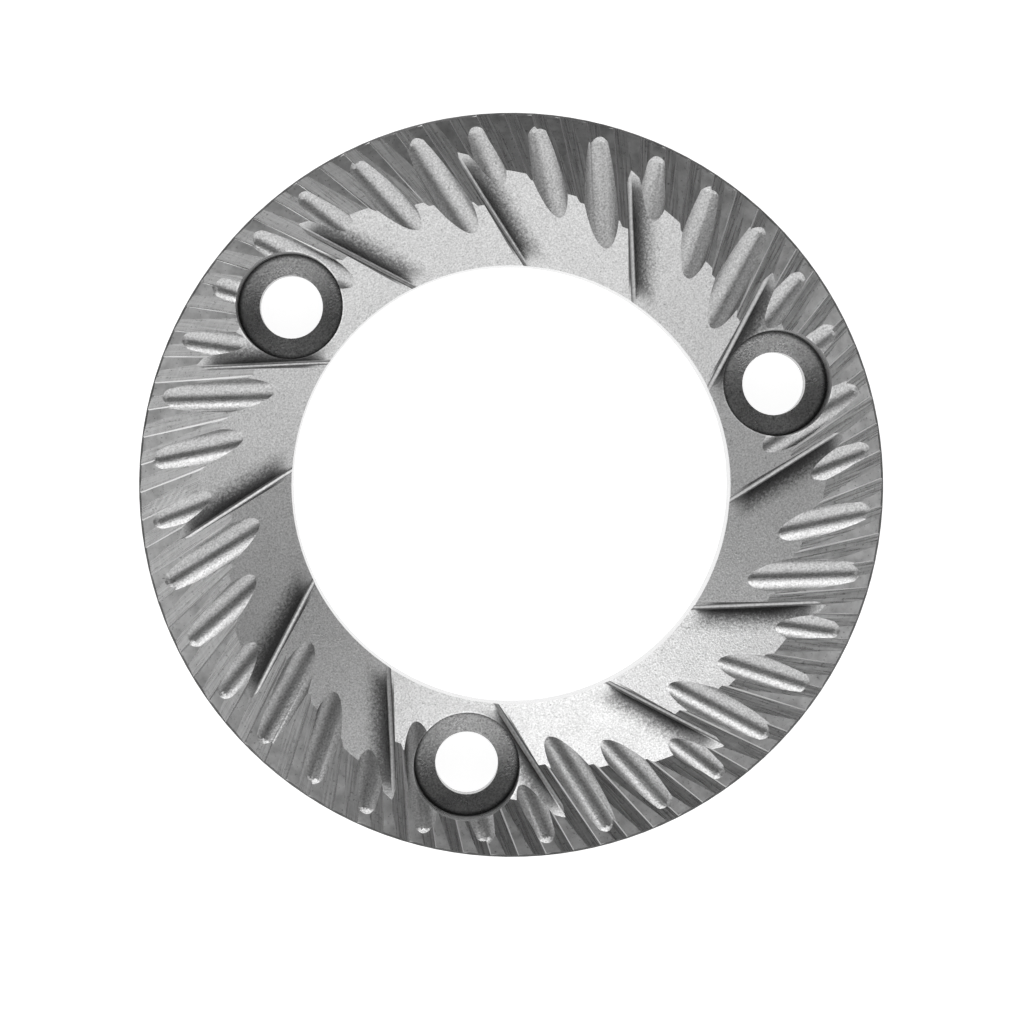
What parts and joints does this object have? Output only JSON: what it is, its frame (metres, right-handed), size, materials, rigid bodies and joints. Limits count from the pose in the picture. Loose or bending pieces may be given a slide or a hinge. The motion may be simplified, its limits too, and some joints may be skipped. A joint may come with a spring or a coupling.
{
  "type": "coffee grinder burr",
  "caption": "Flat steel grinding ring: breaker scoops fall to a wide bore and flutes lead out to fine finishing teeth at the rim, with counterbored screw holes through the face.",
  "frame": {"origin": "centre of the flat back face, on the axis of the bore", "axes": "+Z along the bore axis, out of the toothed face; +X through one screw hole"},
  "size_m": [0.064, 0.064, 0.009],
  "materials": {
    "burr_steel": "blasted scoops and flutes, ground lands and back"
  },
  "bodies": {
    "root": {"burr": "burr_steel"}
  },
  "joints": []
}
